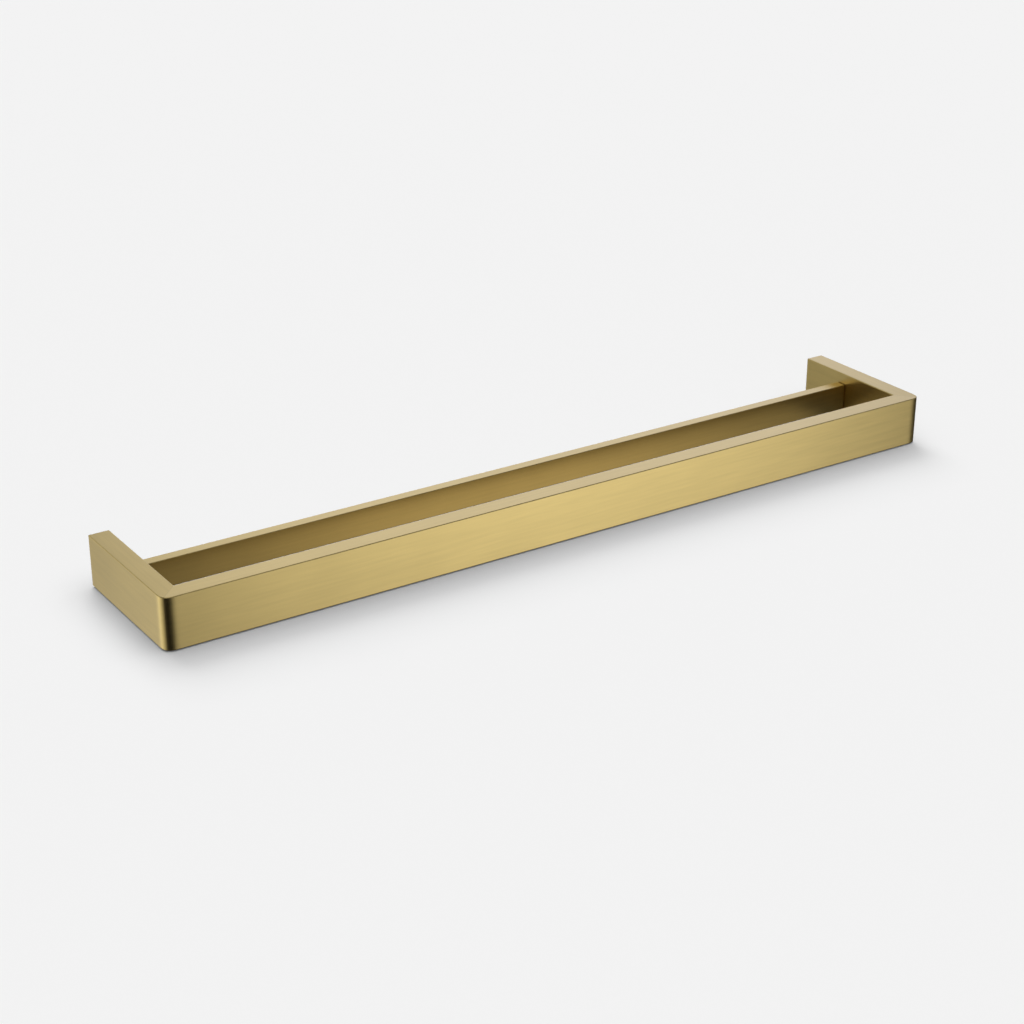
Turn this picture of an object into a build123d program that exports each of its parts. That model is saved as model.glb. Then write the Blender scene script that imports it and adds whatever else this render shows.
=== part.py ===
"""Double towel rail: a mitred frame of flat tube, a slimmer rear rail and hidden wall brackets.

Millimetres. X runs along the rail and Y towards the wall, which is the plane Y = 0. Z is up.
The origin is the centre of the four wall screws, at the middle of the frame's height.
"""
from build123d import *
import os

# Whole rack
rack_length = 600.0
rack_depth = 108.0
rack_height = 35.0

# Frame tube: a front rail and two arms, mitred at the front corners
front_rail_thickness = 14.0
arm_thickness = 14.0
tube_wall = 1.5
corner_radius = 5.0
frame_edge_radius = 0.6

# Rear rail
rear_rail_thickness = 8.0
rear_rail_height = 19.0
rear_rail_wall = 1.2
rear_rail_edge_radius = 0.5
rear_rail_to_wall = 35.0
rear_rail_shadow_gap = 0.8

# End plugs of the rear rail, each with a tenon through the arm's inner wall
plug_length = 12.0
plug_rim = 0.4
tenon_thickness = 3.6
tenon_height = 10.0
tenon_proud = 1.0
tenon_clearance = 0.1

# Wall brackets, hidden in the arms' open wall ends
bracket_clearance = 0.4
bracket_base_thickness = 3.0
bracket_flange_thickness = 2.0
bracket_length = 16.0
wall_screw_hole_diameter = 4.5
wall_screw_head_diameter = 8.0
wall_screw_spacing = 11.0

# Set screws and the threaded blocks they turn in
set_screw_diameter = 5.0
set_screw_length = 5.0
set_screw_recess = 0.3
set_screw_to_wall = 10.0
set_screw_point = 0.6
set_screw_socket = 2.5
set_screw_socket_depth = 2.5
set_screw_gap = 0.3
thread_clearance = 0.05
screw_hole_clearance = 0.3
block_length = 9.0
block_height = 3.5
block_side_gap = 0.2

# Worked out from the sizes above
half_length = rack_length / 2
half_height = rack_height / 2
front_y = -rack_depth
arm_inner_x = half_length - arm_thickness
arm_centre_x = half_length - arm_thickness / 2
cavity_width = arm_thickness - 2 * tube_wall
cavity_half_height = half_height - tube_wall
rear_rail_back_y = -rear_rail_to_wall
rear_rail_centre_y = rear_rail_back_y - rear_rail_thickness / 2
rear_rail_half_length = arm_inner_x - rear_rail_shadow_gap
set_screw_low_z = -half_height + set_screw_recess
set_screw_high_z = set_screw_low_z + set_screw_length
bracket_low_z = set_screw_high_z + set_screw_gap
bracket_high_z = cavity_half_height - bracket_clearance
bracket_width = cavity_width - 2 * bracket_clearance
overrun = 5.0


def block(x_range, y_range, z_range):
    """A box between two corners, given as three pairs of limits."""
    corner = (x_range[0], y_range[0], z_range[0])
    size = (x_range[1] - x_range[0], y_range[1] - y_range[0], z_range[1] - z_range[0])
    return Pos(*corner) * Box(*size, align=(Align.MIN, Align.MIN, Align.MIN))


def prism(outline, half_depth):
    """A flat outline in plan, made as deep above the middle plane as below it."""
    return extrude(make_face(Polyline(outline, close=True)), half_depth, both=True)


def frame_outline(inset, wall_end_y):
    """The frame in plan, moved into its own metal by the inset."""
    outer_x = half_length - inset
    inner_x = arm_inner_x + inset
    outer_y = front_y + inset
    inner_y = front_y + front_rail_thickness - inset
    return [
        (-outer_x, wall_end_y),
        (-outer_x, outer_y),
        (outer_x, outer_y),
        (outer_x, wall_end_y),
        (inner_x, wall_end_y),
        (inner_x, inner_y),
        (-inner_x, inner_y),
        (-inner_x, wall_end_y),
    ]


def front_corner_edges(solid):
    """The two upright edges at the frame's outer front corners."""
    return solid.edges().filter_by(Axis.Z).group_by(Axis.Y)[0]


def long_edges(solid):
    """The top and bottom edges that run along the tubes, without the ones at the wall."""
    level = solid.edges().filter_by(Plane.XY)
    return level.filter_by(lambda edge: edge.center().Y < -tube_wall)


def whole_frame():
    """The frame as one hollow bar, before it is cut into its three tubes."""
    shell = prism(frame_outline(0, 0), half_height)
    shell = fillet(front_corner_edges(shell), corner_radius)
    shell = fillet(long_edges(shell), frame_edge_radius)
    cavity = prism(frame_outline(tube_wall, overrun), cavity_half_height)
    if corner_radius > tube_wall:
        cavity = fillet(front_corner_edges(cavity), corner_radius - tube_wall)
    return shell - cavity


def mitre_ends(side):
    """The two ends of a mitre line, run past the metal at the outer and the inner corner."""
    run_x = -side * arm_thickness
    run_y = front_rail_thickness
    outside = (side * half_length - run_x, front_y - run_y)
    inside = (side * half_length + 1.5 * run_x, front_y + 1.5 * run_y)
    return outside, inside


def make_front_rail(frame):
    """The long front tube, mitred at both ends."""
    left_out, left_in = mitre_ends(-1)
    right_out, right_in = mitre_ends(1)
    return frame & prism([left_out, left_in, right_in, right_out], rack_height)


def make_left_arm(frame):
    """A short tube from the front corner to the wall, with its tenon slot and screw hole."""
    outside, inside = mitre_ends(-1)
    region = [outside, inside, (inside[0], overrun), (outside[0], overrun)]
    arm = frame & prism(region, rack_height)
    arm -= tenon(tenon_clearance)
    screw_hole_radius = set_screw_diameter / 2 + screw_hole_clearance
    screw_hole = Cylinder(screw_hole_radius, 2 * tube_wall)
    return arm - Pos(-arm_centre_x, -set_screw_to_wall, -half_height) * screw_hole


def rear_rail_section(inset, half_run):
    """The rear rail's section, inset by so much, over so much length each way."""
    depth = rear_rail_thickness - 2 * inset
    height = rear_rail_height - 2 * inset
    return Pos(0, rear_rail_centre_y, 0) * Box(2 * half_run, depth, height)


def make_rear_rail():
    """The slimmer tube between the arms."""
    bar = rear_rail_section(0, rear_rail_half_length)
    bar = fillet(bar.edges().filter_by(Axis.X), rear_rail_edge_radius)
    return bar - rear_rail_section(rear_rail_wall, rack_length)


def tenon(clearance):
    """The flat tongue that passes through the left arm's inner wall, or the slot for it."""
    far_x = arm_inner_x + tube_wall + tenon_proud
    half_depth = tenon_thickness / 2 + clearance
    half_tall = tenon_height / 2 + clearance
    return block(
        (-far_x, -arm_inner_x),
        (rear_rail_centre_y - half_depth, rear_rail_centre_y + half_depth),
        (-half_tall, half_tall),
    )


def make_left_rail_plug():
    """The rear rail's end plug: a body in the tube, a thin shoulder and the tenon."""
    body_end_x = rear_rail_half_length - plug_length
    body_depth = rear_rail_thickness - 2 * rear_rail_wall
    body_height = rear_rail_height - 2 * rear_rail_wall
    body = Pos(0, rear_rail_centre_y, 0) * block(
        (-rear_rail_half_length, -body_end_x),
        (-body_depth / 2, body_depth / 2),
        (-body_height / 2, body_height / 2),
    )
    rim_depth = body_depth / 2 + plug_rim
    rim_height = body_height / 2 + plug_rim
    shoulder = Pos(0, rear_rail_centre_y, 0) * block(
        (-arm_inner_x, -rear_rail_half_length),
        (-rim_depth, rim_depth),
        (-rim_height, rim_height),
    )
    return body + shoulder + tenon(0)


def make_left_wall_bracket():
    """A C-shaped bracket: a base on the wall, two screw holes and an upper and a lower flange."""
    side_faces = (-arm_centre_x - bracket_width / 2, -arm_centre_x + bracket_width / 2)
    bracket = block(side_faces, (-bracket_length, 0), (bracket_low_z, bracket_high_z))
    bracket -= block(
        (side_faces[0] - overrun, side_faces[1] + overrun),
        (-bracket_length - overrun, -bracket_base_thickness),
        (bracket_low_z + bracket_flange_thickness, bracket_high_z - bracket_flange_thickness),
    )
    hole = CounterSinkHole(
        wall_screw_hole_diameter / 2,
        wall_screw_head_diameter / 2,
        2 * bracket_base_thickness,
        mode=Mode.PRIVATE,
    )
    for height in (-wall_screw_spacing / 2, wall_screw_spacing / 2):
        face_of_base = Pos(-arm_centre_x, -bracket_base_thickness, height)
        bracket -= face_of_base * Rot(90, 0, 0) * hole
    return bracket


def make_left_screw_block():
    """The threaded block fixed to the arm's floor, which the set screw turns in."""
    half_width = cavity_width / 2 - block_side_gap
    body = block(
        (-arm_centre_x - half_width, -arm_centre_x + half_width),
        (-set_screw_to_wall - block_length / 2, -set_screw_to_wall + block_length / 2),
        (-cavity_half_height, -cavity_half_height + block_height),
    )
    thread = Cylinder(set_screw_diameter / 2 + thread_clearance, rack_height)
    return body - Pos(-arm_centre_x, -set_screw_to_wall, 0) * thread


def make_left_set_screw():
    """A headless set screw with a flat point and a hexagon socket in its lower end."""
    middle_z = (set_screw_low_z + set_screw_high_z) / 2
    screw = Pos(0, 0, middle_z) * Cylinder(set_screw_diameter / 2, set_screw_length)
    screw = chamfer(screw.edges().group_by(Axis.Z)[-1], set_screw_point)
    hexagon = RegularPolygon(set_screw_socket / 2, 6, major_radius=False)
    screw -= Pos(0, 0, set_screw_low_z) * extrude(hexagon, set_screw_socket_depth)
    return Pos(-arm_centre_x, -set_screw_to_wall, 0) * screw


def write(node, shape):
    """Writes one node's solid to its own file."""
    export_step(shape, os.path.join("parts", node + ".step"))


def write_pair(name, left_shape):
    """Writes a left-hand piece and its mirror image at the other arm."""
    write("left_" + name, left_shape)
    write("right_" + name, mirror(left_shape, about=Plane.YZ))


os.makedirs("parts", exist_ok=True)
frame = whole_frame()
write("front_rail", make_front_rail(frame))
write("rear_rail", make_rear_rail())
write_pair("arm", make_left_arm(frame))
write_pair("rail_plug", make_left_rail_plug())
write_pair("wall_bracket", make_left_wall_bracket())
write_pair("screw_block", make_left_screw_block())
write_pair("set_screw", make_left_set_screw())
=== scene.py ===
"""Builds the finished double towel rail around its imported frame, and the studio it is shown in."""
import math

import bpy
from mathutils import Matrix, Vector


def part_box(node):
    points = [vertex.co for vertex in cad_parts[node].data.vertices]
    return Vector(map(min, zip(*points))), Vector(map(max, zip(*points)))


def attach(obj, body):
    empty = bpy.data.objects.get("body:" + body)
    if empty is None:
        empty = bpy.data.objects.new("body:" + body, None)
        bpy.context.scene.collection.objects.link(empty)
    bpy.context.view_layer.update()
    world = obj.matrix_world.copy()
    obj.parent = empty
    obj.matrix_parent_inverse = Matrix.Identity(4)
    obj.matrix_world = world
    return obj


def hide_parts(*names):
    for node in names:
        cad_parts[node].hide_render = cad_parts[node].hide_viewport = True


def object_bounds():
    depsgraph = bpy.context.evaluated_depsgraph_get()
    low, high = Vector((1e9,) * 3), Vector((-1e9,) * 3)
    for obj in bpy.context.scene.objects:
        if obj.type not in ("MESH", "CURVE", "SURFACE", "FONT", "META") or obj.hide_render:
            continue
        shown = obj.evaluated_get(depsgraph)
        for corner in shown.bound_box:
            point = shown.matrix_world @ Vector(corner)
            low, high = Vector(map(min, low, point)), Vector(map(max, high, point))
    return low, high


bl_info = {
    "name": "Double Towel Rail",
    "version": (1, 0, 0),
    "blender": (4, 5, 0),
    "location": "3D View > Sidebar > Towel Rail",
    "description": "Brushed brass double towel rail with hidden wall brackets",
    "category": "Object",
}

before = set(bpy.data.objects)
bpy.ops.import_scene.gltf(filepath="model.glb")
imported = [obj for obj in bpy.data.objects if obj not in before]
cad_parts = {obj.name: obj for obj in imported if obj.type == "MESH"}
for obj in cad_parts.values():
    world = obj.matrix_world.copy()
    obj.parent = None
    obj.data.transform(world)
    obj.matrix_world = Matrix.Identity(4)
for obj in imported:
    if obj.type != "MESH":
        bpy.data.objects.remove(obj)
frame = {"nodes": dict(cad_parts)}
CAD_LOW, CAD_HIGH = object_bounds()

RAIL_LOW, RAIL_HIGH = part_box("front_rail")
ARM_LOW, ARM_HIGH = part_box("left_arm")
SCREW_LOW, SCREW_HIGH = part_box("left_set_screw")
BAR_THICKNESS = RAIL_HIGH[1] - RAIL_LOW[1]
ARM_THICKNESS = ARM_HIGH[0] - ARM_LOW[0]
HALF_LENGTH = CAD_HIGH[0]
FRONT_Y = CAD_LOW[1]
HALF_HEIGHT = CAD_HIGH[2]

# Mesh work
TOUCHING = 1e-5
SAME_POINT = 1e-6
CORNER_SEGMENTS = 40
EDGE_SEGMENTS = 4
PLAIN_ARC = 0.5
SMOOTH_ANGLE = math.radians(40)
HOLE_SIDES = 48
QUARTER_TURN = math.radians(90)

# Brushed brass: spread of its tone, darkening by handling, painted shade along its edges, and its
# lacquer
GRAIN_TONES = (0.90, 1.10)
CLOUD_SHARE = 0.25
CLOUD_TONE = 0.90
# Painted shade: how much of the edges is darkened, and how dark
EDGE_SHADE_SHARE = 0.7
EDGE_SHADE_TONE = 0.5
GRAIN_ROUGHNESS = 0.04
CLOUD_ROUGHNESS = 0.05
BRUSH_DIRECTION = 0.5
LACQUER = 0.35
LACQUER_ROUGHNESS = 0.3

# Studio: floor, key light and camera
FLOOR_SIZE = 60.0
FLOOR_TONE = 0.79
FLOOR_GLOW = 0.105
PATCH_LIFT = 0.0001
# Painted shade: tint of the see-through patch that dims what the rails reflect between them
PAINTED_SHADE_TINT = (0.62, 0.54, 0.40, 1)
KEY_SPREAD = math.radians(40)
KEY_DIRECTION = (-0.15, -0.70, -0.67)
COOL_TINT = (1.0, 1.03, 1.28, 1)
SENSOR_WIDTH = 36


# ---------------------------------------------------------------- settings


class FrameSettings(bpy.types.PropertyGroup):
    """Sizes of the visible frame that its packed box doesn't give."""

    corner_blend: bpy.props.FloatProperty(
        name="Corner blend",
        description="How far the rounding of an outer front corner runs along each face",
        default=0.0118,
        min=0.001,
        unit="LENGTH",
    )
    corner_fullness: bpy.props.FloatProperty(
        name="Corner fullness",
        description="0.5 is a plain arc; more eases into the flat faces",
        default=0.70,
        min=0.3,
        max=0.9,
    )
    edge_radius: bpy.props.FloatProperty(
        name="Edge radius",
        description="Softening of the tube's long edges",
        default=0.0006,
        min=0.0001,
        unit="LENGTH",
    )
    tube_wall: bpy.props.FloatProperty(
        name="Tube wall",
        description="Thickness of the tube's wall, seen at the arms' wall ends",
        default=0.0015,
        min=0.0005,
        unit="LENGTH",
    )
    screw_hole_gap: bpy.props.FloatProperty(
        name="Screw hole gap",
        description="Room around the set screw where it passes the arm's lower wall",
        default=0.0003,
        min=0.0,
        unit="LENGTH",
    )


class FinishSettings(bpy.types.PropertyGroup):
    """Colours and brushing of the metals."""

    brass: bpy.props.FloatVectorProperty(
        name="Brass",
        description="Colour of the brushed brass coating",
        default=(0.70, 0.535, 0.205),
        min=0.0,
        max=1.0,
        subtype="COLOR",
    )
    # Painted shade: the arms get a darker, warmer copy of the brass, for how their faces catch the
    # light.
    shaded_arm_brass: bpy.props.FloatVectorProperty(
        name="Shaded arm brass",
        description="Colour of the same coating on the arms, painted a little darker as shade",
        default=(0.675, 0.512, 0.182),
        min=0.0,
        max=1.0,
        subtype="COLOR",
    )
    brass_roughness: bpy.props.FloatProperty(
        name="Brass roughness",
        description="Mean roughness of the brushed faces",
        default=0.27,
        min=0.05,
        max=1.0,
        subtype="FACTOR",
    )
    bare_brass: bpy.props.FloatVectorProperty(
        name="Bare brass",
        description="Colour of the uncoated inner pieces",
        default=(0.58, 0.42, 0.17),
        min=0.0,
        max=1.0,
        subtype="COLOR",
    )
    zinc: bpy.props.FloatVectorProperty(
        name="Zinc",
        description="Colour of the plated wall brackets",
        default=(0.60, 0.61, 0.63),
        min=0.0,
        max=1.0,
        subtype="COLOR",
    )
    stainless: bpy.props.FloatVectorProperty(
        name="Stainless",
        description="Colour of the set screws",
        default=(0.42, 0.42, 0.43),
        min=0.0,
        max=1.0,
        subtype="COLOR",
    )


class StudioSettings(bpy.types.PropertyGroup):
    """Camera, floor and lights."""

    azimuth: bpy.props.FloatProperty(
        name="Azimuth",
        description="Direction the camera looks in, from +Y towards -X",
        default=math.radians(-33.51),
        subtype="ANGLE",
    )
    elevation: bpy.props.FloatProperty(
        name="Elevation",
        description="Height of the camera above the horizon",
        default=math.radians(23.99),
        subtype="ANGLE",
    )
    distance: bpy.props.FloatProperty(
        name="Distance",
        description="From the camera to the point it aims at",
        default=1.3845,
        unit="LENGTH",
    )
    aim: bpy.props.FloatVectorProperty(
        name="Aim",
        description="The aimed point, from the centre of the rack",
        default=(-0.0207, 0.0, -0.0154),
        subtype="TRANSLATION",
    )
    lens: bpy.props.FloatProperty(
        name="Lens",
        description="Focal length in millimetres on a 36 mm sensor",
        default=72.1,
    )
    floor_gap: bpy.props.FloatProperty(
        name="Floor gap",
        description="Room under the rack for the backed-out set screws",
        default=0.0008,
        unit="LENGTH",
    )
    backdrop: bpy.props.FloatProperty(
        name="Backdrop",
        description="Brightness of the empty studio behind the rack",
        default=0.888,
        min=0.0,
    )
    fill: bpy.props.FloatProperty(
        name="Floor fill",
        description="Soft light that the floor gets from overhead",
        default=1.87,
        min=0.0,
    )
    key: bpy.props.FloatProperty(
        name="Key light",
        description="Strength of the soft key light behind and to the right",
        default=1.25,
        min=0.0,
    )
    zenith: bpy.props.FloatProperty(
        name="Overhead light",
        description="Brightness of the ceiling, as the metal reflects it",
        default=0.9,
        min=0.0,
    )
    rear: bpy.props.FloatProperty(
        name="Rear light",
        description="Brightness of the wall behind the rack, as the metal reflects it",
        default=1.0,
        min=0.0,
    )
    front: bpy.props.FloatProperty(
        name="Front light",
        description="Brightness of the room behind the camera, as the metal reflects it",
        default=0.30,
        min=0.0,
    )
    ring: bpy.props.FloatProperty(
        name="High dark ring",
        description="Brightness between the walls and the ceiling, as the metal reflects it",
        default=0.12,
        min=0.0,
    )
    glow: bpy.props.FloatProperty(
        name="Left window",
        description="Extra brightness behind and to the left, which lights the edges that face it",
        default=0.3,
        min=0.0,
    )
    low: bpy.props.FloatProperty(
        name="Low light",
        description="Brightness below the horizon in front, away from the low panels",
        default=0.006,
        min=0.0,
    )
    low_rear: bpy.props.FloatProperty(
        name="Low rear light",
        description="Brightness below the horizon behind the rack",
        default=0.30,
        min=0.0,
    )


# ---------------------------------------------------------------- mesh tools


def settings():
    return bpy.context.scene.towel_rail


def deselect_all():
    bpy.ops.object.select_all(action="DESELECT")


def finish_mesh(piece, name, body, nodes):
    """Names a piece, places it in its mesh, ties it to its body and hides the nodes that it stands
    in for.
    """
    piece.name = name
    piece.data.name = name
    deselect_all()
    piece.select_set(True)
    bpy.context.view_layer.objects.active = piece
    bpy.ops.object.transform_apply(location=True, rotation=True, scale=True)
    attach(piece, body)
    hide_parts(*nodes)


def add_block(name, low, high):
    """A box primitive between two corners, with its place in its mesh."""
    deselect_all()
    centre = [(a + b) / 2 for a, b in zip(low, high)]
    bpy.ops.mesh.primitive_cube_add(size=1, location=centre)
    piece = bpy.context.active_object
    piece.name = name
    piece.dimensions = [b - a for a, b in zip(low, high)]
    bpy.ops.object.transform_apply(location=True, rotation=True, scale=True)
    return piece


def select_edges(piece, wanted):
    """Selects the edges whose two ends pass the test, and nothing else, in edit mode."""
    bpy.ops.object.mode_set(mode="EDIT")
    bpy.ops.mesh.select_mode(type="EDGE")
    bpy.ops.mesh.select_all(action="DESELECT")
    bpy.ops.object.mode_set(mode="OBJECT")
    points = [v.co for v in piece.data.vertices]
    for edge in piece.data.edges:
        edge.select = wanted(points[edge.vertices[0]], points[edge.vertices[1]])
    bpy.ops.object.mode_set(mode="EDIT")


def select_faces(piece, wanted):
    """Selects the faces whose centre and normal pass the test, in edit mode."""
    bpy.ops.object.mode_set(mode="EDIT")
    bpy.ops.mesh.select_mode(type="FACE")
    bpy.ops.mesh.select_all(action="DESELECT")
    bpy.ops.object.mode_set(mode="OBJECT")
    for face in piece.data.polygons:
        face.select = wanted(face.center, face.normal)
    bpy.ops.object.mode_set(mode="EDIT")


def near(a, b, slack=TOUCHING):
    return abs(a - b) < slack


def cut_away(piece, point, normal):
    """Cuts the piece at a plane, closes the cut and drops what lies on the normal's side."""
    deselect_all()
    piece.select_set(True)
    bpy.context.view_layer.objects.active = piece
    bpy.ops.object.mode_set(mode="EDIT")
    bpy.ops.mesh.select_all(action="SELECT")
    bpy.ops.mesh.bisect(plane_co=point, plane_no=normal, use_fill=True, clear_outer=True)
    bpy.ops.object.mode_set(mode="OBJECT")


def copy_of(piece):
    """A copy with its own mesh, alone in the selection."""
    deselect_all()
    piece.select_set(True)
    bpy.context.view_layer.objects.active = piece
    bpy.ops.object.duplicate(linked=False)
    return bpy.context.active_object


def mitre_normal(side):
    """Normal of the mitre plane at one corner, pointing into the arm."""
    return Vector((side * BAR_THICKNESS, ARM_THICKNESS, 0)).normalized()


def corner_point(side):
    return Vector((side * HALF_LENGTH, FRONT_Y, 0))


def whole_frame():
    """The U-shaped bar: a block with its middle pushed out, its corners and edges rounded."""
    sizes = settings().frame
    low, high = (-HALF_LENGTH, FRONT_Y, -HALF_HEIGHT), (HALF_LENGTH, 0, HALF_HEIGHT)
    piece = add_block("frame_blank", low, high)
    bpy.ops.object.mode_set(mode="EDIT")
    cuts = (
        ((-HALF_LENGTH + ARM_THICKNESS, 0, 0), (1, 0, 0)),
        ((HALF_LENGTH - ARM_THICKNESS, 0, 0), (1, 0, 0)),
        ((0, FRONT_Y + BAR_THICKNESS, 0), (0, 1, 0)),
    )
    for point, normal in cuts:
        bpy.ops.mesh.select_all(action="SELECT")
        bpy.ops.mesh.bisect(plane_co=point, plane_no=normal)
    bpy.ops.object.mode_set(mode="OBJECT")

    def towel_gap(centre, normal):
        inside = abs(centre.x) < HALF_LENGTH - ARM_THICKNESS and centre.y > FRONT_Y + BAR_THICKNESS
        return inside and (abs(normal.z) > 0.5 or near(centre.y, 0))

    select_faces(piece, towel_gap)
    bpy.ops.mesh.delete(type="FACE")
    inner = HALF_LENGTH - ARM_THICKNESS
    back = FRONT_Y + BAR_THICKNESS

    def on_gap_wall(p):
        on_side = near(abs(p.x), inner) and p.y > back - TOUCHING
        on_back = near(p.y, back) and abs(p.x) < inner + TOUCHING
        return on_side or on_back

    def open_rim(a, b):
        if not (on_gap_wall(a) and on_gap_wall(b)):
            return False
        level = near(a.z, b.z)
        same_wall = near(a.x, b.x) or (near(a.y, back) and near(b.y, back))
        return level and same_wall

    select_edges(piece, open_rim)
    bpy.ops.mesh.bridge_edge_loops()
    bpy.ops.object.mode_set(mode="OBJECT")

    def outer_corner(a, b):
        at_front = near(a.y, FRONT_Y) and near(b.y, FRONT_Y)
        return near(a.x, b.x) and near(abs(a.x), HALF_LENGTH) and at_front

    select_edges(piece, outer_corner)
    bpy.ops.mesh.bevel(
        offset=sizes.corner_blend,
        segments=CORNER_SEGMENTS,
        profile=sizes.corner_fullness,
        affect="EDGES",
    )
    bpy.ops.object.mode_set(mode="OBJECT")

    def long_edge(a, b):
        level = near(abs(a.z), HALF_HEIGHT) and near(a.z, b.z)
        at_wall = near(a.y, 0) and near(b.y, 0)
        return level and not at_wall and on_rim(a) and on_rim(b) and not crosses_bar(a, b)

    def on_rim(p):
        outer = near(abs(p.x), HALF_LENGTH) or near(p.y, FRONT_Y)
        blend_start = HALF_LENGTH - sizes.corner_blend - TOUCHING
        in_corner = abs(p.x) > blend_start and p.y < FRONT_Y + sizes.corner_blend
        return outer or in_corner or on_gap_wall(p)

    def crosses_bar(a, b):
        return on_gap_wall(a) != on_gap_wall(b)

    select_edges(piece, long_edge)
    bpy.ops.mesh.bevel(
        offset=sizes.edge_radius, segments=EDGE_SEGMENTS, profile=PLAIN_ARC, affect="EDGES"
    )
    bpy.ops.mesh.select_all(action="SELECT")
    bpy.ops.mesh.remove_doubles(threshold=SAME_POINT)
    bpy.ops.mesh.normals_make_consistent(inside=False)
    bpy.ops.object.mode_set(mode="OBJECT")
    return piece


def smooth(piece):
    """Smooth shading over the roundings, with the flat faces kept flat."""
    deselect_all()
    piece.select_set(True)
    bpy.context.view_layer.objects.active = piece
    bpy.ops.object.shade_smooth_by_angle(angle=SMOOTH_ANGLE)
    flat = piece.modifiers.new("flat_faces", "WEIGHTED_NORMAL")
    flat.mode = "FACE_AREA"
    flat.weight = 100
    flat.keep_sharp = True
    bpy.ops.object.modifier_apply(modifier=flat.name)


# ---------------------------------------------------------------- shader groups


def new_group(name, inputs, outputs):
    """A shader node group with named sockets, with its own start and end nodes."""
    group = bpy.data.node_groups.new(name, "ShaderNodeTree")
    kinds = {"value": "NodeSocketFloat", "vector": "NodeSocketVector"}
    for label, kind, default in inputs:
        socket = group.interface.new_socket(name=label, in_out="INPUT", socket_type=kinds[kind])
        if default is not None:
            socket.default_value = default
    for label, kind in outputs:
        group.interface.new_socket(name=label, in_out="OUTPUT", socket_type=kinds[kind])
    start = group.nodes.new("NodeGroupInput")
    end = group.nodes.new("NodeGroupOutput")
    return group, start.outputs, end.inputs


def add_node(tree, kind, settings_of=None, **inputs):
    """Adds a node, sets its properties and links or sets its inputs by name."""
    node = tree.nodes.new(kind)
    for key, value in (settings_of or {}).items():
        setattr(node, key, value)
    for key, value in inputs.items():
        set_input(tree, node, key, value)
    return node


def set_input(tree, node, key, value):
    """Sets or links one input, named in words joined by underscores, or numbered as in_0."""
    name = int(key[3:]) if key.startswith("in_") else key.replace("_", " ")
    socket = node.inputs[name]
    if isinstance(value, bpy.types.NodeSocket):
        tree.links.new(value, socket)
    else:
        socket.default_value = value


def math_node(tree, operation, a, b=0.0, clamp=False):
    setup = {"operation": operation, "use_clamp": clamp}
    return add_node(tree, "ShaderNodeMath", setup, in_0=a, in_1=b).outputs[0]


def mix_numbers(tree, factor, first, second):
    return add_node(tree, "ShaderNodeMix", Factor=factor, in_2=first, in_3=second).outputs[0]


def mix_colors(tree, factor, first, second):
    setup = {"data_type": "RGBA"}
    node = add_node(tree, "ShaderNodeMix", setup, Factor=factor, in_6=first, in_7=second)
    return node.outputs[2]


def grain_group():
    """Brush lines that run along the vector's X axis, with fine and broad strokes."""
    group, given, result = new_group(
        "Brush grain",
        [
            ("Vector", "vector", None),
            ("Fine lines", "value", 450.0),
            ("Broad lines", "value", 200.0),
        ],
        [("Lines", "value"), ("Strokes", "value")],
    )
    for socket, scale_name, stretch, detail in (
        ("Lines", "Fine lines", 26.0, 1.0),
        ("Strokes", "Broad lines", 3.0, 3.0),
    ):
        scale = add_node(
            group, "ShaderNodeCombineXYZ", X=stretch, Y=given[scale_name], Z=given[scale_name]
        )
        place = add_node(
            group,
            "ShaderNodeVectorMath",
            {"operation": "MULTIPLY"},
            in_0=given["Vector"],
            in_1=scale.outputs[0],
        )
        noise = add_node(
            group,
            "ShaderNodeTexNoise",
            {"noise_dimensions": "3D"},
            Vector=place.outputs[0],
            Scale=1.0,
            Detail=detail,
            Roughness=0.6,
        )
        group.links.new(noise.outputs["Fac"], result[socket])
    return group


def handling_group():
    """Slow clouds of tone left by handling and wiping, and small dull spots."""
    group, given, result = new_group(
        "Handling",
        [("Vector", "vector", None), ("Cloud size", "value", 22.0)],
        [("Clouds", "value"), ("Spots", "value")],
    )
    clouds = add_node(
        group, "ShaderNodeTexNoise", Vector=given["Vector"], Scale=given["Cloud size"], Detail=3.0
    )
    group.links.new(clouds.outputs["Fac"], result["Clouds"])
    spots = add_node(group, "ShaderNodeTexNoise", Vector=given["Vector"], Scale=420.0, Detail=2.0)
    sharp = add_node(
        group,
        "ShaderNodeMapRange",
        {"interpolation_type": "SMOOTHSTEP"},
        Value=spots.outputs["Fac"],
        From_Min=0.66,
        From_Max=0.76,
    )
    group.links.new(sharp.outputs[0], result["Spots"])
    return group


def edge_group():
    """A mask of the outer edges, broken up by the brush strokes. The brass darkens them as painted
    shade; the other metals lighten them as wear.
    """
    group, given, result = new_group(
        "Edge mask", [("Reach", "value", 0.0008), ("Breakup", "value", 0.5)], [("Wear", "value")]
    )
    soft = add_node(group, "ShaderNodeBevel", {"samples": 6}, Radius=given["Reach"])
    true = add_node(group, "ShaderNodeNewGeometry")
    same = add_node(
        group,
        "ShaderNodeVectorMath",
        {"operation": "DOT_PRODUCT"},
        in_0=soft.outputs["Normal"],
        in_1=true.outputs["Normal"],
    )
    turned = math_node(group, "SUBTRACT", 1.0, same.outputs["Value"])
    spread = add_node(group, "ShaderNodeMapRange", Value=turned, From_Min=0.01, From_Max=0.2)
    broken_edges = math_node(group, "MULTIPLY", spread.outputs[0], given["Breakup"], clamp=True)
    group.links.new(broken_edges, result["Wear"])
    return group


def new_material(name):
    """A material with a Principled surface, ready for its own nodes."""
    material = bpy.data.materials.new(name)
    material.use_nodes = True
    tree = material.node_tree
    return material, tree, tree.nodes["Principled BSDF"]


def place_group(tree, group, **inputs):
    node = tree.nodes.new("ShaderNodeGroup")
    node.node_tree = group
    for key, value in inputs.items():
        set_input(tree, node, key, value)
    return node.outputs


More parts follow.
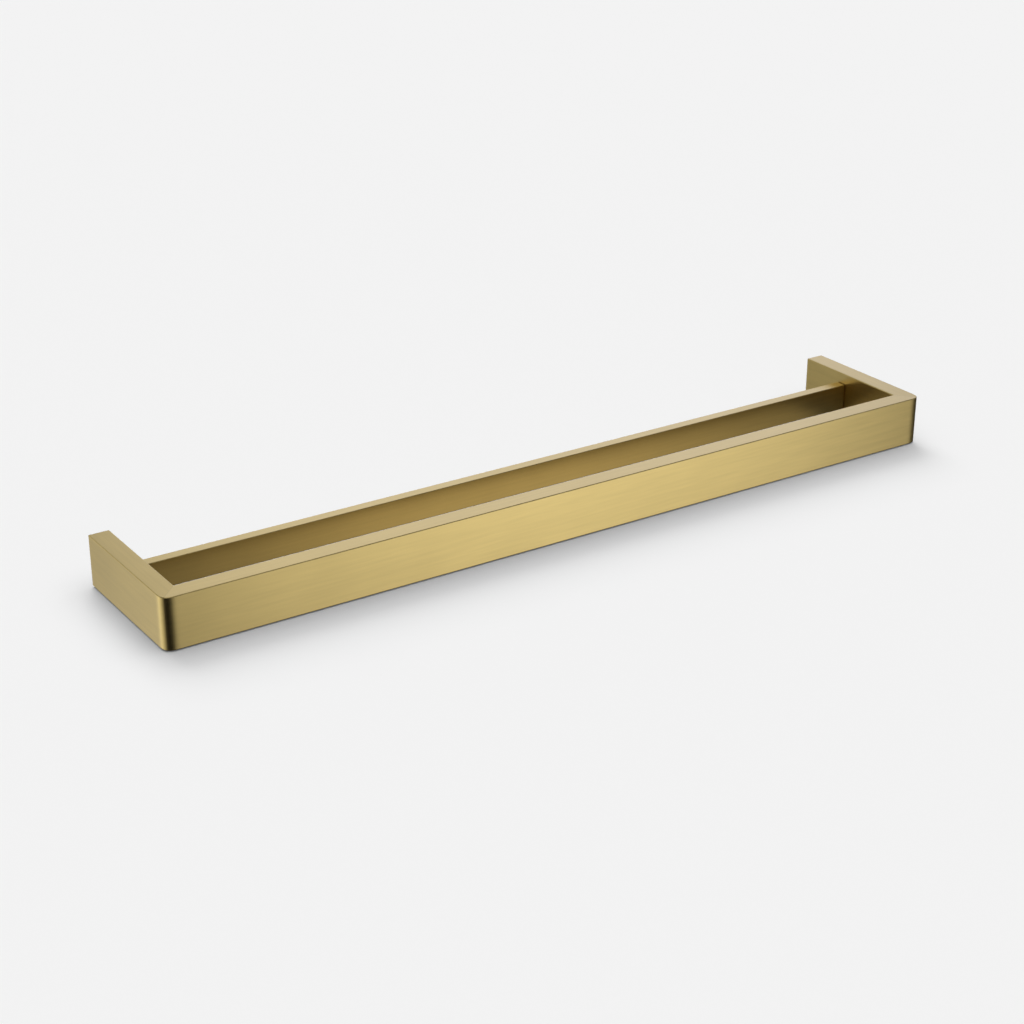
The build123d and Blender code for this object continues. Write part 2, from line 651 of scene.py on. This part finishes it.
def object_vector(tree, turn=(0, 0, 0)):
    """The piece's own coordinates, turned so that X runs along the brushing."""
    coordinates = add_node(tree, "ShaderNodeTexCoord")
    place = coordinates.outputs["Object"]
    mapping = add_node(tree, "ShaderNodeMapping", Vector=place, Rotation=turn)
    return mapping.outputs[0]


def shade(color, factor):
    return (color[0] * factor, color[1] * factor, color[2] * factor, 1.0)


def brushed_brass(name, turn, tangent, brass):
    """Satin PVD brass, brushed along the bar under a thin clear lacquer, with painted shade along
    its edges.
    """
    finish = settings().finish
    material, tree, surface = new_material(name)
    vector = object_vector(tree, turn)
    grain = place_group(tree, GROUPS["grain"], Vector=vector)
    handling = place_group(tree, GROUPS["handling"], Vector=vector)
    edge_mask = place_group(tree, GROUPS["edge"], Breakup=grain["Strokes"])
    dark, light = GRAIN_TONES
    tone = mix_colors(tree, grain["Lines"], shade(brass, dark), shade(brass, light))
    touched = math_node(tree, "MULTIPLY", handling["Clouds"], CLOUD_SHARE)
    clouded = mix_colors(tree, touched, tone, shade(brass, CLOUD_TONE))
    # Painted shade: the edges are darkened to stand in for the dark lines that the rounded edges
    # reflect.
    painted_edge_shade = math_node(tree, "MULTIPLY", edge_mask["Wear"], EDGE_SHADE_SHARE)
    edged = mix_colors(tree, painted_edge_shade, clouded, shade(brass, EDGE_SHADE_TONE))
    tree.links.new(edged, surface.inputs["Base Color"])
    streaks = math_node(tree, "MULTIPLY_ADD", grain["Lines"], GRAIN_ROUGHNESS)
    streaks.node.inputs[2].default_value = finish.brass_roughness - GRAIN_ROUGHNESS / 2
    smudged = math_node(tree, "MULTIPLY_ADD", handling["Clouds"], CLOUD_ROUGHNESS)
    tree.links.new(streaks, smudged.node.inputs[2])
    tree.links.new(smudged, surface.inputs["Roughness"])
    bump = add_node(tree, "ShaderNodeBump", Strength=0.02, Distance=0.00001, Height=grain["Lines"])
    tree.links.new(bump.outputs[0], surface.inputs["Normal"])
    surface.inputs["Metallic"].default_value = 1.0
    surface.inputs["Anisotropic"].default_value = BRUSH_DIRECTION
    surface.inputs["Coat Weight"].default_value = LACQUER
    surface.inputs["Coat Roughness"].default_value = LACQUER_ROUGHNESS
    grain_line = add_node(tree, "ShaderNodeCombineXYZ", X=tangent[0], Y=tangent[1], Z=tangent[2])
    tree.links.new(grain_line.outputs[0], surface.inputs["Tangent"])
    return material


def machined_metal(name, color, roughness, lines, turn=(0, 0, 0)):
    """Uncoated or plated metal with tool marks and stained spots."""
    material, tree, surface = new_material(name)
    vector = object_vector(tree, turn)
    scales = {"Fine_lines": lines, "Broad_lines": lines / 6}
    grain = place_group(tree, GROUPS["grain"], Vector=vector, **scales)
    handling = place_group(tree, GROUPS["handling"], Vector=vector, Cloud_size=160.0)
    edge_mask = place_group(tree, GROUPS["edge"], Reach=0.0004, Breakup=grain["Strokes"])
    tone = mix_colors(tree, handling["Clouds"], shade(color, 0.78), shade(color, 1.08))
    edged = mix_colors(tree, edge_mask["Wear"], tone, shade(color, 1.3))
    tree.links.new(edged, surface.inputs["Base Color"])
    rough = math_node(tree, "MULTIPLY_ADD", grain["Lines"], 0.16)
    rough.node.inputs[2].default_value = roughness - 0.08
    spotted = math_node(tree, "MULTIPLY_ADD", handling["Spots"], 0.15)
    tree.links.new(rough, spotted.node.inputs[2])
    tree.links.new(spotted, surface.inputs["Roughness"])
    bump = add_node(tree, "ShaderNodeBump", Strength=0.4, Distance=0.00003, Height=grain["Lines"])
    tree.links.new(bump.outputs[0], surface.inputs["Normal"])
    surface.inputs["Metallic"].default_value = 1.0
    return material


def dress(piece, material):
    """Puts one material in every slot of a piece."""
    if not piece.data.materials:
        piece.data.materials.append(material)
    for slot in piece.material_slots:
        slot.material = material


GROUPS = {}
MATERIALS = {}


# ---------------------------------------------------------------- operators


class TOWELRAIL_OT_finishes(bpy.types.Operator):
    """Make the shader groups and the metals that the pieces are dressed in"""

    bl_idname = "towelrail.finishes"
    bl_label = "Metal finishes"

    def execute(self, context):
        finish = settings().finish
        GROUPS["grain"] = grain_group()
        GROUPS["handling"] = handling_group()
        GROUPS["edge"] = edge_group()
        MATERIALS["rail"] = brushed_brass("brushed_brass_rail", (0, 0, 0), (1, 0, 0), finish.brass)
        # The arms use the darker copy of the brass, as painted shade.
        MATERIALS["arm"] = brushed_brass(
            "brushed_brass_arm", (0, 0, QUARTER_TURN), (0, 1, 0), finish.shaded_arm_brass
        )
        MATERIALS["bare"] = machined_metal("bare_brass", finish.bare_brass, 0.38, 900.0)
        MATERIALS["zinc"] = machined_metal(
            "zinc_plate", finish.zinc, 0.42, 500.0, (0, 0, QUARTER_TURN)
        )
        MATERIALS["stainless"] = machined_metal("plain_stainless", finish.stainless, 0.33, 2600.0)
        return {"FINISHED"}


class TOWELRAIL_OT_frame(bpy.types.Operator):
    """Make the front rail and the two arms from one rounded bar, cut at its mitres"""

    bl_idname = "towelrail.frame"
    bl_label = "Front rail and arms"

    def execute(self, context):
        blank = whole_frame()
        rail = copy_of(blank)
        for side in (-1, 1):
            cut_away(rail, corner_point(side), mitre_normal(side))
        smooth(rail)
        finish_mesh(rail, "front_rail_tube", "rack", ["front_rail"])
        dress(rail, MATERIALS["rail"])
        for side, label in ((-1, "left"), (1, "right")):
            arm = copy_of(blank)
            cut_away(arm, corner_point(side), -mitre_normal(side))
            cut_away(arm, (0, 0, 0), (-side, 0, 0))
            hollow_arm(arm, side)
            finish_mesh(arm, f"{label}_arm_tube", "rack", [f"{label}_arm"])
            dress(arm, MATERIALS["arm"])
        bpy.data.objects.remove(blank)
        return {"FINISHED"}


def hollow_arm(arm, side):
    """Opens the arm's wall end and drills its lower wall for the set screw."""
    sizes = settings().frame
    deselect_all()
    arm.select_set(True)
    bpy.context.view_layer.objects.active = arm
    select_faces(arm, lambda centre, normal: near(centre.y, 0, 1e-4) and normal.y > 0.9)
    bpy.ops.mesh.inset(thickness=sizes.tube_wall, depth=0)
    bpy.ops.mesh.extrude_region_move(
        TRANSFORM_OT_translate={"value": (0, FRONT_Y + BAR_THICKNESS + sizes.tube_wall, 0)}
    )
    bpy.ops.object.mode_set(mode="OBJECT")
    arm_middle = HALF_LENGTH - ARM_THICKNESS / 2
    centre = (side * arm_middle, (SCREW_LOW[1] + SCREW_HIGH[1]) / 2, -HALF_HEIGHT)
    radius = (SCREW_HIGH[0] - SCREW_LOW[0]) / 2 + sizes.screw_hole_gap
    deselect_all()
    bpy.ops.mesh.primitive_cylinder_add(
        vertices=HOLE_SIDES, radius=radius, depth=3 * sizes.tube_wall, location=centre
    )
    drill = bpy.context.active_object
    deselect_all()
    arm.select_set(True)
    bpy.context.view_layer.objects.active = arm
    cut = arm.modifiers.new("screw_hole", "BOOLEAN")
    cut.operation = "DIFFERENCE"
    cut.solver = "EXACT"
    cut.object = drill
    bpy.ops.object.modifier_apply(modifier=cut.name)
    bpy.data.objects.remove(drill)
    smooth(arm)


class TOWELRAIL_OT_fittings(bpy.types.Operator):
    """Dress the rear rail, its plugs, the wall brackets, the blocks and the set screws"""

    bl_idname = "towelrail.fittings"
    bl_label = "Rear rail and fittings"

    def execute(self, context):
        nodes = frame["nodes"]
        dress(nodes["rear_rail"], MATERIALS["rail"])
        for label in ("left", "right"):
            dress(nodes[f"{label}_rail_plug"], MATERIALS["bare"])
            dress(nodes[f"{label}_screw_block"], MATERIALS["bare"])
            dress(nodes[f"{label}_wall_bracket"], MATERIALS["zinc"])
            dress(nodes[f"{label}_set_screw"], MATERIALS["stainless"])
        return {"FINISHED"}


def ramp(tree, value, low, high, start=0.0, end=1.0):
    """A smooth rise or fall of a value from start to end."""
    node = add_node(
        tree,
        "ShaderNodeMapRange",
        {"interpolation_type": "SMOOTHSTEP"},
        Value=value,
        From_Min=low,
        From_Max=high,
        To_Min=start,
        To_Max=end,
    )
    return node.outputs[0]


# Each low panel: name, centre, aimed point, size, brightness, spread and swell
NO_SWELL = (0.0, 0.01, 1.0)
LOW_PANELS = (
    (
        "low_front_panel",
        (0.5, -0.71, -0.40),
        (0.5, 0.0, -0.40),
        (1.7, 0.8),
        1.37,
        (0.105, 0.175, 0.557, 0.825, 0.0, 0.8),
        (0.15, 0.39, 0.58),
    ),
    (
        "low_left_panel",
        (-0.9, 0.60, -0.32),
        (-0.9, 0.0, -0.32),
        (1.4, 0.6),
        0.44,
        (0.195, 0.35, 0.98, 1.0, 0.0, 0.1),
        NO_SWELL,
    ),
    (
        "low_side_panel",
        (-0.9, 0.1, -0.32),
        (0.0, 0.1, -0.32),
        (1.4, 0.6),
        0.5,
        (0.0, 0.02, 0.5, 0.95, 0.0, 0.1),
        NO_SWELL,
    ),
)


def low_panel(name, centre, aim, size, radiance, spread, swell):
    """A soft panel below the horizon, seen only as a reflection in the upright faces.

    The spread gives where its light starts, is full, begins to fade and ends across the panel,
    and then where it starts and is full up the panel, each from 0 to 1. The swell brings the
    light up to full between two places across, from the share that it gives last.
    """
    data = bpy.data.lights.new(name, "AREA")
    data.shape = "RECTANGLE"
    data.size, data.size_y = size
    data.energy = radiance * math.pi * size[0] * size[1]
    data.use_nodes = True
    tree = data.node_tree
    place = add_node(tree, "ShaderNodeNewGeometry")
    split = add_node(tree, "ShaderNodeSeparateXYZ", Vector=place.outputs["Parametric"])
    across, up = split.outputs["X"], split.outputs["Y"]
    light = ramp(tree, across, spread[0], spread[1])
    for part in (
        ramp(tree, across, spread[2], spread[3], 1.0, 0.0),
        ramp(tree, up, spread[4], spread[5]),
        ramp(tree, across, swell[0], swell[1], swell[2], 1.0),
    ):
        light = math_node(tree, "MULTIPLY", light, part)
    tree.links.new(light, tree.nodes["Emission"].inputs["Strength"])
    light = bpy.data.objects.new(name, data)
    light.location = centre
    light.rotation_euler = (Vector(aim) - Vector(centre)).to_track_quat("-Z", "Y").to_euler()
    light.visible_camera = False
    light.visible_diffuse = False
    bpy.context.collection.objects.link(light)
    return light


# The rear wall's changes in brightness from left to right, as steps between two places
WALL_STEPS = (
    (0.27, 0.40, 0.5, 1.0),
    (0.46, 0.52, 1.0, 0.84),
    (0.53, 0.60, 1.0, 1.20),
    (0.625, 0.68, 1.0, 0.64),
)


def studio_world(studio):
    """The studio round the rack: what the metal reflects, what lights the floor, the backdrop."""
    world = bpy.data.worlds.new("studio_light")
    world.use_nodes = True
    tree = world.node_tree
    background = tree.nodes["Background"]
    coordinates = add_node(tree, "ShaderNodeTexCoord")
    split = add_node(tree, "ShaderNodeSeparateXYZ", Vector=coordinates.outputs["Generated"])
    right, back, high = split.outputs["X"], split.outputs["Y"], split.outputs["Z"]

    wall = studio.rear
    for low, high_end, start, end in WALL_STEPS:
        wall = math_node(tree, "MULTIPLY", ramp(tree, right, low, high_end, start, end), wall)
    left_side, below_top = ramp(tree, right, -0.3, -0.5), ramp(tree, high, 0.42, 0.30)
    glow = math_node(tree, "MULTIPLY", left_side, below_top)
    wall = math_node(tree, "ADD", wall, math_node(tree, "MULTIPLY", glow, studio.glow))
    front = ramp(tree, high, 0.35, 0.50, studio.front, studio.ring)
    around = mix_numbers(tree, ramp(tree, back, 0.05, 0.5), front, wall)
    upper = mix_numbers(tree, ramp(tree, high, 0.55, 0.72), around, studio.ring)
    ceiling = mix_numbers(tree, ramp(tree, high, 0.88, 0.96), upper, studio.zenith)
    under = ramp(tree, back, -0.1, 0.5, studio.low, studio.low_rear)
    reflected = mix_numbers(tree, ramp(tree, high, -0.06, 0.02), under, ceiling)
    lift = ramp(tree, high, 0.5, 0.95)
    side = ramp(tree, right, -0.6, 0.1, 0.4, 1.0)
    fill = math_node(tree, "MULTIPLY", math_node(tree, "MULTIPLY", lift, side), studio.fill)
    path = add_node(tree, "ShaderNodeLightPath")
    lit = mix_numbers(tree, path.outputs["Is Diffuse Ray"], reflected, fill)
    seen = mix_numbers(tree, path.outputs["Is Camera Ray"], lit, studio.backdrop)
    tree.links.new(seen, background.inputs["Strength"])
    cool = math_node(tree, "MULTIPLY", ramp(tree, right, 0.2, 0.7), path.outputs["Is Glossy Ray"])
    above = math_node(tree, "MULTIPLY", cool, ramp(tree, high, 0.0, 0.3))
    tint = mix_colors(tree, above, (1, 1, 1, 1), COOL_TINT)
    tree.links.new(tint, background.inputs["Color"])
    bpy.context.scene.world = world


def key_light(studio):
    """The soft key light behind and to the right, which casts the rack's shadow forwards."""
    data = bpy.data.lights.new("key_light", "SUN")
    data.angle = KEY_SPREAD
    data.energy = studio.key
    light = bpy.data.objects.new("key_light", data)
    light.rotation_euler = Vector(KEY_DIRECTION).to_track_quat("-Z", "Y").to_euler()
    light.visible_glossy = False
    bpy.context.collection.objects.link(light)


class TOWELRAIL_OT_studio(bpy.types.Operator):
    """Add the camera, the pale floor and the soft lights"""

    bl_idname = "towelrail.studio"
    bl_label = "Studio"

    def execute(self, context):
        studio = settings().studio
        self.add_camera(studio)
        self.add_floor(studio)
        studio_world(studio)
        for panel in LOW_PANELS:
            low_panel(*panel)
        key_light(studio)
        context.scene.cycles.caustics_reflective = False
        context.scene.view_settings.view_transform = "Standard"
        return {"FINISHED"}

    def add_camera(self, studio):
        centre = (Vector(CAD_LOW) + Vector(CAD_HIGH)) / 2
        target = centre + Vector(studio.aim)
        level = math.cos(studio.elevation)
        back = Vector((
            math.sin(studio.azimuth) * level,
            -math.cos(studio.azimuth) * level,
            math.sin(studio.elevation),
        ))
        data = bpy.data.cameras.new("camera")
        data.sensor_width = SENSOR_WIDTH
        data.lens = studio.lens
        camera = bpy.data.objects.new("camera", data)
        camera.location = target + back * studio.distance
        camera.rotation_euler = (-back).to_track_quat("-Z", "Y").to_euler()
        bpy.context.collection.objects.link(camera)
        bpy.context.scene.camera = camera

    def add_floor(self, studio):
        """The pale floor, and a patch of painted shade between the rails, which only their
        reflections see.
        """
        level = CAD_LOW[2] - studio.floor_gap
        material, _, surface = new_material("pale_floor")
        surface.inputs["Base Color"].default_value = (FLOOR_TONE, FLOOR_TONE, FLOOR_TONE, 1)
        surface.inputs["Emission Color"].default_value = (1, 1, 1, 1)
        surface.inputs["Emission Strength"].default_value = FLOOR_GLOW
        surface.inputs["Roughness"].default_value = 1.0
        surface.inputs["Specular IOR Level"].default_value = 0.0
        deselect_all()
        bpy.ops.mesh.primitive_plane_add(size=FLOOR_SIZE, location=(0, 0, level))
        floor = bpy.context.active_object
        floor.name = "floor"
        floor.data.materials.append(material)
        floor.visible_glossy = False
        floor.visible_shadow = False
        deselect_all()
        bpy.ops.mesh.primitive_plane_add(size=1, location=(0, FRONT_Y / 2, level + PATCH_LIFT))
        patch = bpy.context.active_object
        patch.name = "painted_shade_in_the_gap"
        patch.dimensions = (2 * HALF_LENGTH, -FRONT_Y, 0)
        bpy.ops.object.transform_apply(location=True, rotation=True, scale=True)
        patch.data.materials.append(self.painted_floor_shade())
        patch.visible_camera = False
        patch.visible_diffuse = False
        patch.visible_shadow = False

    def painted_floor_shade(self):
        """Painted shade and reflection: a brass-tinted see-through veil that dims what the rails
        reflect between them, in place of the shaded floor.
        """
        material, tree, surface = new_material("painted_floor_shade")
        coordinates = add_node(tree, "ShaderNodeTexCoord")
        place = coordinates.outputs["Object"]
        along = add_node(tree, "ShaderNodeSeparateXYZ", Vector=place).outputs["X"]
        # Painted shade: the veil is darker towards both ends, and nearly black by the right arm as a
        # painted contact shadow.
        left = ramp(tree, along, -HALF_LENGTH, -0.2 * HALF_LENGTH, 0.55, 0.94)
        right = ramp(tree, along, 0.1 * HALF_LENGTH, 0.95 * HALF_LENGTH, 1.0, 0.66)
        end = ramp(tree, along, 0.86 * HALF_LENGTH, 0.96 * HALF_LENGTH, 1.0, 0.1)
        shade_along = math_node(tree, "MULTIPLY", math_node(tree, "MULTIPLY", left, right), end)
        tint = mix_colors(tree, shade_along, (0, 0, 0, 1), PAINTED_SHADE_TINT)
        veil = add_node(tree, "ShaderNodeBsdfTransparent", Color=tint)
        tree.links.new(veil.outputs[0], tree.nodes["Material Output"].inputs["Surface"])
        tree.nodes.remove(surface)
        return material


class TOWELRAIL_PT_panel(bpy.types.Panel):
    """Lists the steps that make the towel rail"""

    bl_label = "Towel Rail"
    bl_idname = "TOWELRAIL_PT_panel"
    bl_space_type = "VIEW_3D"
    bl_region_type = "UI"
    bl_category = "Towel Rail"

    def draw(self, context):
        for step in STEPS:
            self.layout.operator(step.bl_idname)
        for group in (settings().frame, settings().finish, settings().studio):
            box = self.layout.box()
            for key in group.__annotations__:
                box.prop(group, key)


class TowelRailSettings(bpy.types.PropertyGroup):
    """All the settings of the towel rail."""

    frame: bpy.props.PointerProperty(name="Frame", description="Visible frame", type=FrameSettings)
    finish: bpy.props.PointerProperty(name="Finish", description="Metals", type=FinishSettings)
    studio: bpy.props.PointerProperty(name="Studio", description="Studio", type=StudioSettings)


STEPS = (TOWELRAIL_OT_finishes, TOWELRAIL_OT_frame, TOWELRAIL_OT_fittings, TOWELRAIL_OT_studio)
GROUPS_OF_SETTINGS = (FrameSettings, FinishSettings, StudioSettings, TowelRailSettings)
CLASSES = (*GROUPS_OF_SETTINGS, *STEPS, TOWELRAIL_PT_panel)


def register():
    for item in CLASSES:
        bpy.utils.register_class(item)
    bpy.types.Scene.towel_rail = bpy.props.PointerProperty(type=TowelRailSettings)


def unregister():
    del bpy.types.Scene.towel_rail
    for item in reversed(CLASSES):
        bpy.utils.unregister_class(item)


def main():
    register()
    bpy.ops.towelrail.finishes()
    bpy.ops.towelrail.frame()
    bpy.ops.towelrail.fittings()
    bpy.ops.towelrail.studio()


if __name__ == "__main__":
    main()
